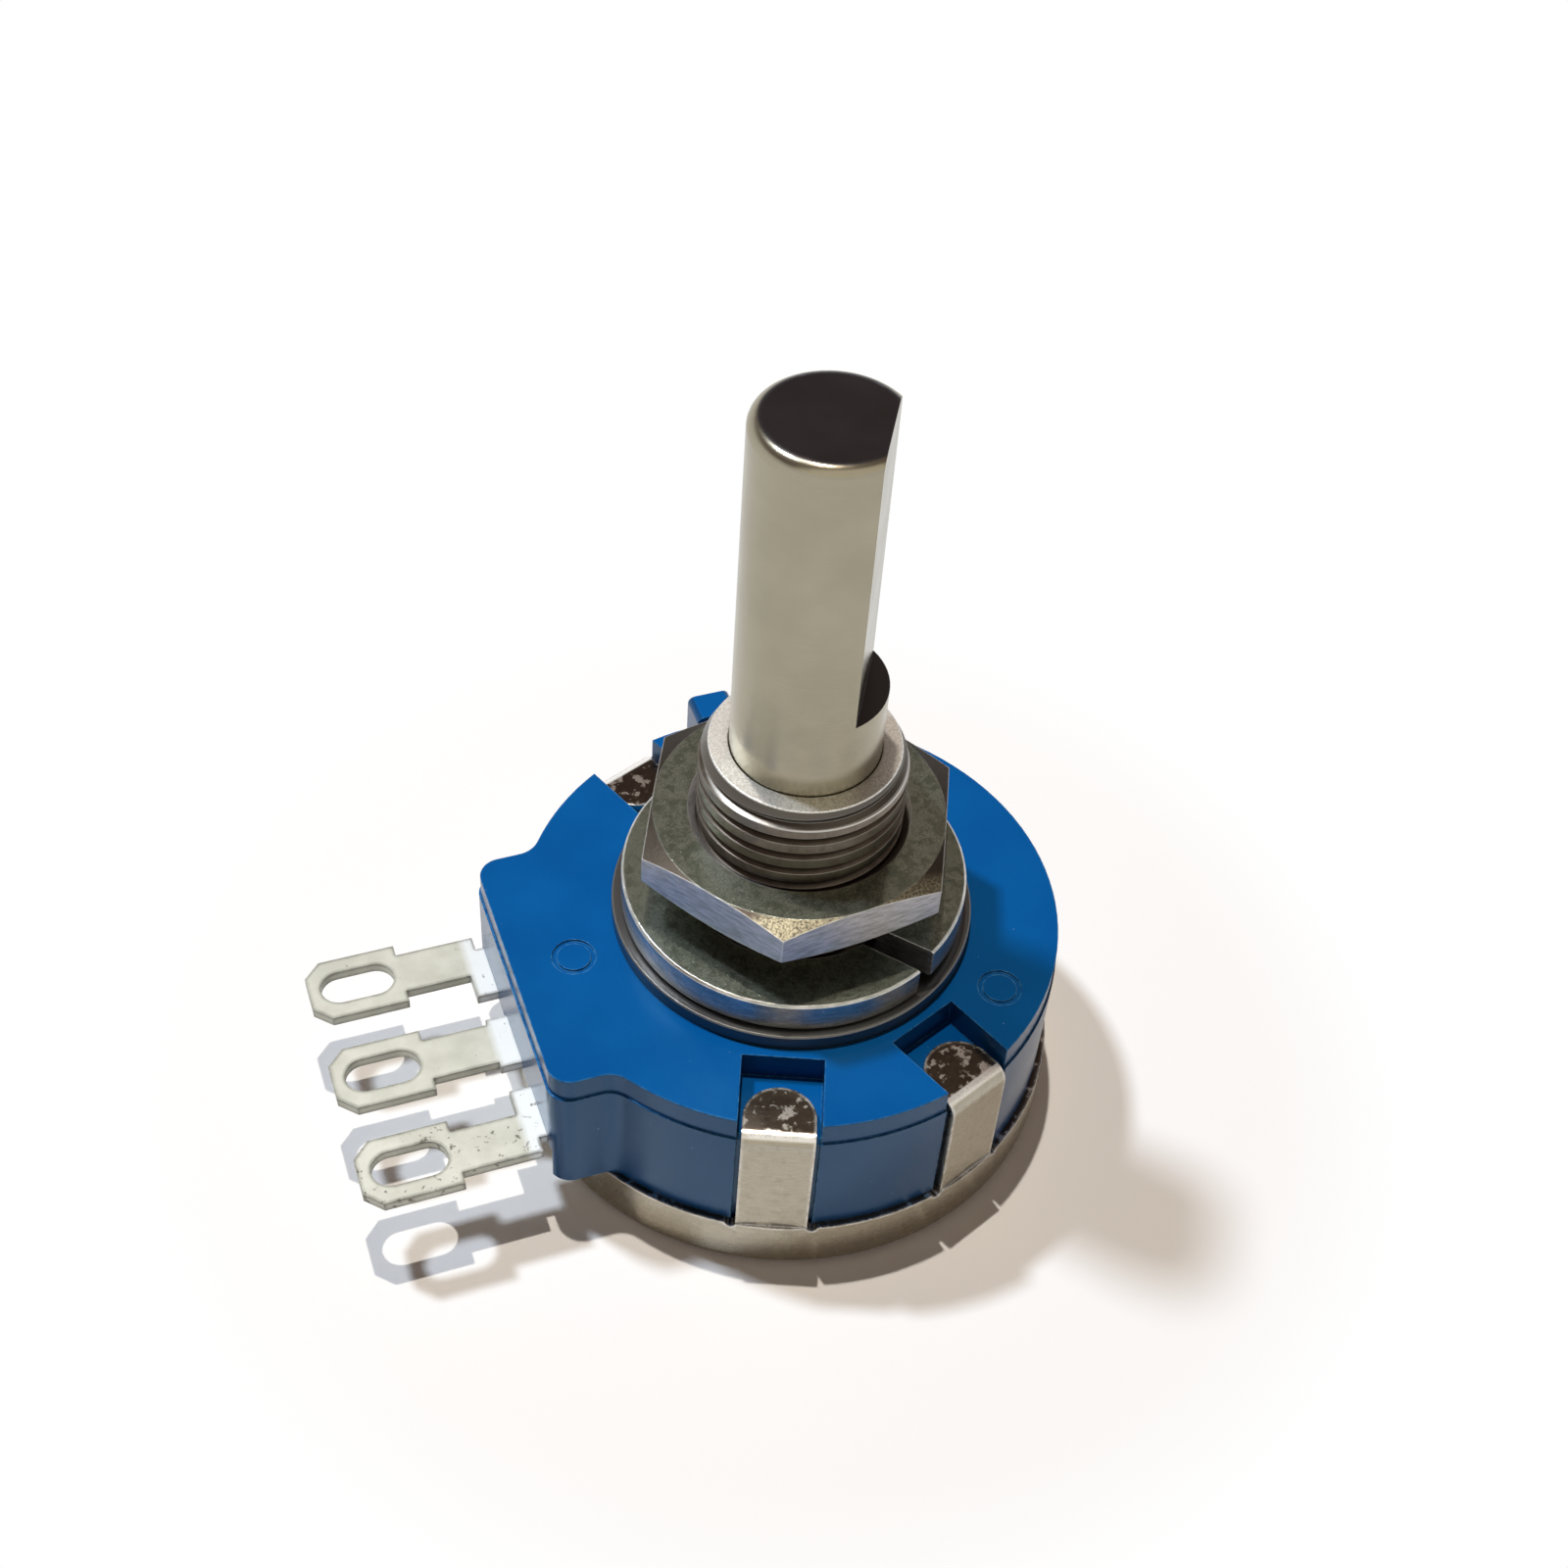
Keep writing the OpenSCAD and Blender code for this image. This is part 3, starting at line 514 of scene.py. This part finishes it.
def add_ring(mesh, radius, z, columns):
    """Vertices round the shaft's axis."""
    turns = [2 * pi * i / columns for i in range(columns)]
    return [mesh.verts.new((radius * cos(turn), radius * sin(turn), z)) for turn in turns]


def add_lathe(mesh, profile, columns):
    """Surface of revolution through (radius, z) points."""
    rings = [add_ring(mesh, radius, z, columns) for radius, z in profile]
    for low, high in zip(rings, rings[1:]):
        for i in range(columns):
            j = (i + 1) % columns
            mesh.faces.new((low[i], low[j], high[j], high[i]))


def add_thread(mesh, crest_r, bottom, top, columns):
    """Helical thread between two heights, cut back by the neck and the end chamfer."""
    root_r = crest_r - THREAD_DEPTH
    tooth = ((0.0, crest_r), (CREST_END, crest_r), (ROOT_START, root_r), (ROOT_END, root_r))
    chamfer_start = top + EDGE_BREAK - END_CHAMFER_LENGTH
    chamfer_slope = END_CHAMFER_DEPTH / (top - chamfer_start)

    def envelope(z):
        neck = crest_r - NECK_CUT + max(0.0, z - bottom)
        end = crest_r - max(0.0, z - chamfer_start) * chamfer_slope
        return min(crest_r, neck, end)

    turns = int((top - bottom) / THREAD_PITCH) + SPARE_TURNS
    stations = []
    for i in range((turns + 1) * columns + 1):
        angle = 2 * pi * i / columns
        station = []
        for along, radius in tooth:
            z = bottom + THREAD_PITCH * (i / columns + along - THREAD_LEAD_IN)
            held = min(max(z, bottom), top)
            r = envelope(held) if held != z else min(radius, envelope(z))
            station.append(mesh.verts.new((r * cos(angle), r * sin(angle), held)))
        stations.append(station)
    for i in range(turns * columns):
        near = stations[i] + [stations[i + columns][0]]
        far = stations[i + 1] + [stations[i + 1 + columns][0]]
        for j in range(len(tooth)):
            mesh.faces.new((near[j], far[j], far[j + 1], near[j + 1]))


def make_piece(mesh, name, sharp_over):
    """Smooth object in the scene from a mesh under way, with its sharper edges kept."""
    for face in mesh.faces:
        face.smooth = True
    data = bpy.data.meshes.new(name)
    mesh.to_mesh(data)
    mesh.free()
    data.set_sharp_from_angle(angle=radians(sharp_over))
    piece = bpy.data.objects.new(name, data)
    bpy.context.scene.collection.objects.link(piece)
    return piece


def make_bushing():
    """Bushing with its helical thread, in the place of the plain CAD barrel."""
    low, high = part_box("threaded_bushing")
    top = high.z / MM
    flange_r = high.x / MM
    flange_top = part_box("lock_washer")[0].z / MM
    body_top = flange_top - FLANGE_T
    crest_r = mounts["bushing_thread"]["dims"]["r_mm"]
    bore_r = mounts["shaft"]["dims"]["r_mm"] + BORE_PLAY
    stake_bottom = low.z / MM
    ceiling = stake_bottom + STAKE_T
    face_r = crest_r - END_CHAMFER_DEPTH
    neck_r = crest_r - NECK_CUT
    neck_top = flange_top + NECK_LENGTH
    mesh = bmesh.new()
    add_thread(mesh, crest_r, neck_top, top - EDGE_BREAK, THREAD_COLUMNS)
    add_lathe(mesh, [
        (face_r, top - EDGE_BREAK), (face_r - EDGE_BREAK, top), (bore_r + BORE_CHAMFER, top),
        (bore_r, top - BORE_CHAMFER), (bore_r, ceiling + POCKET_RISE),
        (POCKET_R, ceiling + POCKET_RISE), (POCKET_R, stake_bottom), (STAKE_R, stake_bottom),
        (STAKE_R, ceiling), (SPIGOT_R, ceiling), (SPIGOT_R, body_top), (flange_r, body_top),
        (flange_r, flange_top - EDGE_BREAK), (flange_r - EDGE_BREAK, flange_top),
        (neck_r, flange_top), (neck_r, neck_top)], THREAD_COLUMNS)
    bmesh.ops.remove_doubles(mesh, verts=mesh.verts, dist=MERGE_WITHIN)
    bmesh.ops.recalc_face_normals(mesh, faces=mesh.faces)
    mesh.transform(Matrix.Scale(MM, 4))
    piece = make_piece(mesh, "bushing_thread", BUSHING_SHARP)
    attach(piece, "housing")
    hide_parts("threaded_bushing")


def add_tab(mesh, turn, top):
    """One folded tab as a closed sheet: round tip, flat, fold and upright."""
    half = TAB_W / 2
    fold_r = TAB_FACE - TAB_FOLD
    fold_z = top - TAB_FOLD
    tilts = [pi / 2 * i / FOLD_STEPS for i in range(FOLD_STEPS + 1)]
    bend = [(fold_r + TAB_FOLD * sin(tilt), fold_z + TAB_FOLD * cos(tilt), tilt)
            for tilt in tilts]
    outer, inner = [], []
    for i in range(TAB_COLUMNS + 1):
        y = -half * cos(pi * i / TAB_COLUMNS)
        tip = TAB_TIP + half - sqrt(max(0.0, half * half - y * y))
        path = [(tip, top, 0.0)] + bend + [(TAB_FACE, TAB_ROOT, pi / 2)]
        under = [(r - SHEET_T * sin(tilt), z - SHEET_T * cos(tilt)) for r, z, tilt in path]
        outer.append([mesh.verts.new(turn @ Vector((r, y, z)) * MM) for r, z, tilt in path])
        inner.append([mesh.verts.new(turn @ Vector((r, y, z)) * MM) for r, z in under])
    rows = len(outer[0])
    for i in range(TAB_COLUMNS):
        for j in range(rows - 1):
            mesh.faces.new((outer[i][j], outer[i][j + 1], outer[i + 1][j + 1], outer[i + 1][j]))
            mesh.faces.new((inner[i + 1][j], inner[i + 1][j + 1], inner[i][j + 1], inner[i][j]))
        for j in (0, rows - 1):
            mesh.faces.new((outer[i][j], outer[i + 1][j], inner[i + 1][j], inner[i][j]))
    for i in (0, TAB_COLUMNS):
        for j in range(rows - 1):
            mesh.faces.new((outer[i][j], inner[i][j], inner[i][j + 1], outer[i][j + 1]))


def make_cover():
    """Rear cover whose tabs end flush where they fold, in the place of the CAD one."""
    mesh = bmesh.new()
    mesh.from_mesh(bpy.data.objects["rear_cover"].data)
    cut = (0, 0, (RIM_H + RIM_CUT_ABOVE) * MM)
    bmesh.ops.bisect_plane(mesh, geom=mesh.verts[:] + mesh.edges[:] + mesh.faces[:],
                           plane_co=cut, plane_no=(0, 0, 1), clear_outer=True)
    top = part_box("rear_cover")[1].z / MM
    tabs = bmesh.new()
    for angle in TAB_ANGLES:
        add_tab(tabs, Matrix.Rotation(radians(angle), 3, "Z"), top)
    bmesh.ops.recalc_face_normals(tabs, faces=tabs.faces)
    folded = bpy.data.meshes.new("folded_tabs")
    tabs.to_mesh(folded)
    tabs.free()
    mesh.from_mesh(folded)
    piece = make_piece(mesh, "cover_sheet", COVER_SHARP)
    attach(piece, "housing")
    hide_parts("rear_cover")


def floor_material():
    """White table: it keeps the shadows near the object and is plain white beyond them."""
    material = bpy.data.materials.new("floor_white")
    material.use_nodes = True
    tree = material.node_tree
    tree.nodes.clear()
    new = tree.nodes.new
    grey = new("ShaderNodeBsdfDiffuse")
    grey.inputs["Color"].default_value = (*FLOOR_COLOUR, 1)
    white = new("ShaderNodeBsdfDiffuse")
    white.inputs["Color"].default_value = (1, 1, 1, 1)
    lift = new("ShaderNodeEmission")
    lift.inputs["Strength"].default_value = FLOOR_LIFT
    lifted = new("ShaderNodeAddShader")
    backdrop = new("ShaderNodeEmission")
    place = new("ShaderNodeTexCoord")
    length = new("ShaderNodeVectorMath")
    length.operation = "LENGTH"
    far = new("ShaderNodeMapRange")
    far.interpolation_type = "SMOOTHSTEP"
    far.inputs["From Min"].default_value = SHADOWS_WITHIN
    far.inputs["From Max"].default_value = WHITE_FROM
    shown = new("ShaderNodeMixShader")
    pick = new("ShaderNodeMixShader")
    path = new("ShaderNodeLightPath")
    seen = new("ShaderNodeMath")
    seen.operation = "MAXIMUM"
    output = new("ShaderNodeOutputMaterial")
    link = tree.links.new
    link(place.outputs["Object"], length.inputs[0])
    link(length.outputs["Value"], far.inputs["Value"])
    link(far.outputs["Result"], shown.inputs[0])
    link(white.outputs[0], lifted.inputs[0])
    link(lift.outputs[0], lifted.inputs[1])
    link(lifted.outputs[0], shown.inputs[1])
    link(backdrop.outputs[0], shown.inputs[2])
    link(path.outputs["Is Camera Ray"], seen.inputs[0])
    link(path.outputs["Is Glossy Ray"], seen.inputs[1])
    link(seen.outputs[0], pick.inputs[0])
    link(grey.outputs[0], pick.inputs[1])
    link(shown.outputs[0], pick.inputs[2])
    link(pick.outputs[0], output.inputs["Surface"])
    return material


def make_floor():
    """Wide floor just under the part."""
    mesh = bmesh.new()
    bmesh.ops.create_grid(mesh, x_segments=1, y_segments=1, size=FLOOR_SIZE / 2)
    data = bpy.data.meshes.new("floor")
    mesh.to_mesh(data)
    mesh.free()
    floor = bpy.data.objects.new("floor", data)
    floor.location.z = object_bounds()[0][2] - FLOOR_DROP
    bpy.context.scene.collection.objects.link(floor)
    data.materials.append(floor_material())


def make_world():
    """Dim warm room; metal mirrors its walls, ceiling and front light, the camera sees white."""
    world = bpy.data.worlds.new("studio")
    bpy.context.scene.world = world
    world.use_nodes = True
    tree = world.node_tree
    tree.nodes.clear()
    new = tree.nodes.new
    direction = new("ShaderNodeTexCoord")
    split = new("ShaderNodeSeparateXYZ")
    height = new("ShaderNodeMapRange")
    height.interpolation_type = "SMOOTHSTEP"
    height.inputs["From Min"].default_value = sin(radians(WALL_TOP))
    height.inputs["From Max"].default_value = sin(radians(CEILING_START))
    tone = new("ShaderNodeMix")
    tone.data_type = "RGBA"
    tone.inputs[6].default_value = (*WALL_COLOUR, 1)
    front = new("ShaderNodeMapRange")
    front.interpolation_type = "SMOOTHSTEP"
    front.inputs["From Min"].default_value = -sin(radians(FRONT_EDGE))
    front.inputs["From Max"].default_value = -sin(radians(FRONT_FULL))
    above = new("ShaderNodeMix")
    above.data_type = "RGBA"
    above.inputs[6].default_value = (*CEILING_COLOUR, 1)
    above.inputs[7].default_value = (*FRONT_COLOUR, 1)
    path = new("ShaderNodeLightPath")
    mirrored = new("ShaderNodeBackground")
    room = new("ShaderNodeBackground")
    room.inputs["Color"].default_value = (*ROOM_COLOUR, 1)
    white = new("ShaderNodeBackground")
    white.inputs["Color"].default_value = (1, 1, 1, 1)
    by_gloss = new("ShaderNodeMixShader")
    pick = new("ShaderNodeMixShader")
    output = new("ShaderNodeOutputWorld")
    link = tree.links.new
    link(direction.outputs["Generated"], split.inputs[0])
    link(split.outputs[2], height.inputs["Value"])
    link(split.outputs[1], front.inputs["Value"])
    link(front.outputs["Result"], above.inputs[0])
    link(height.outputs["Result"], tone.inputs[0])
    link(above.outputs[2], tone.inputs[7])
    link(tone.outputs[2], mirrored.inputs["Color"])
    link(path.outputs["Is Glossy Ray"], by_gloss.inputs[0])
    link(room.outputs[0], by_gloss.inputs[1])
    link(mirrored.outputs[0], by_gloss.inputs[2])
    link(path.outputs["Is Camera Ray"], pick.inputs[0])
    link(by_gloss.outputs[0], pick.inputs[1])
    link(white.outputs[0], pick.inputs[2])
    link(pick.outputs[0], output.inputs["Surface"])


def make_lamp(name, azimuth, elevation, distance, width, power, colour):
    """Round lamp that looks at the middle of the part."""
    data = bpy.data.lights.new(name, "AREA")
    data.shape = "DISK"
    data.size = width
    data.energy = power
    data.color = colour
    lamp = bpy.data.objects.new(name, data)
    a, e = radians(azimuth), radians(elevation)
    outward = Vector((cos(e) * cos(a), cos(e) * sin(a), sin(e)))
    lamp.location = Vector((0, 0, AIM_HEIGHT)) + distance * outward
    lamp.rotation_euler = outward.to_track_quat("Z", "Y").to_euler()
    bpy.context.scene.collection.objects.link(lamp)


def make_camera():
    """Camera at the photograph's place, with its small pan and its roll."""
    e = CAMERA_ELEVATION
    right = Vector((1, 0, 0))
    down = Vector((0, -sin(e), -cos(e)))
    forward = Vector((0, cos(e), -sin(e)))
    rows = (Matrix.Rotation(CAMERA_ROLL, 3, "Z") @ Matrix.Rotation(CAMERA_PAN, 3, "Y")
            @ Matrix((right, down, forward)))
    turn = Matrix.Rotation(CAMERA_AZIMUTH + pi / 2, 3, "Z")
    right, down, forward = (turn @ row for row in rows)
    outward = Vector((cos(e) * cos(CAMERA_AZIMUTH), cos(e) * sin(CAMERA_AZIMUTH), sin(e)))
    place = Vector((0, 0, AIM_HEIGHT)) + CAMERA_DISTANCE * outward
    data = bpy.data.cameras.new("camera")
    data.lens = CAMERA_LENS
    data.sensor_width = CAMERA_SENSOR
    data.clip_start = MM
    camera = bpy.data.objects.new("camera", data)
    axes = Matrix((right, -down, -forward)).transposed().to_4x4()
    camera.matrix_world = Matrix.Translation(place) @ axes
    bpy.context.scene.collection.objects.link(camera)
    bpy.context.scene.camera = camera


def dress():
    """Puts each node's finish on it."""
    paint(["housing"], blue_moulding())
    paint(["cover_sheet", "rear_cover"], cover_metal())
    paint(["shaft"], shaft_metal())
    paint(["bushing_thread", "threaded_bushing"], threaded_metal())
    for name, *finish in PLATED_STEEL:
        paint([name], stained_metal(*finish))
    paint(["terminal_start", "terminal_wiper"], tinned_metal("tinned_metal", 0.0))
    paint(["terminal_end"], tinned_metal("tinned_metal_spotted", 1.0))
    for name, *finish in INNER_BOARDS:
        paint([name], inner_board(*finish))
    for names, *finish in INNER_METALS:
        paint(names, inner_metal(*finish))


make_camera()
make_bushing()
make_cover()
dress()
make_floor()
make_world()
make_lamp("key_lamp", *KEY_LAMP)
make_lamp("fill_lamp", *FILL_LAMP)
bpy.context.scene.view_settings.view_transform = "Standard"
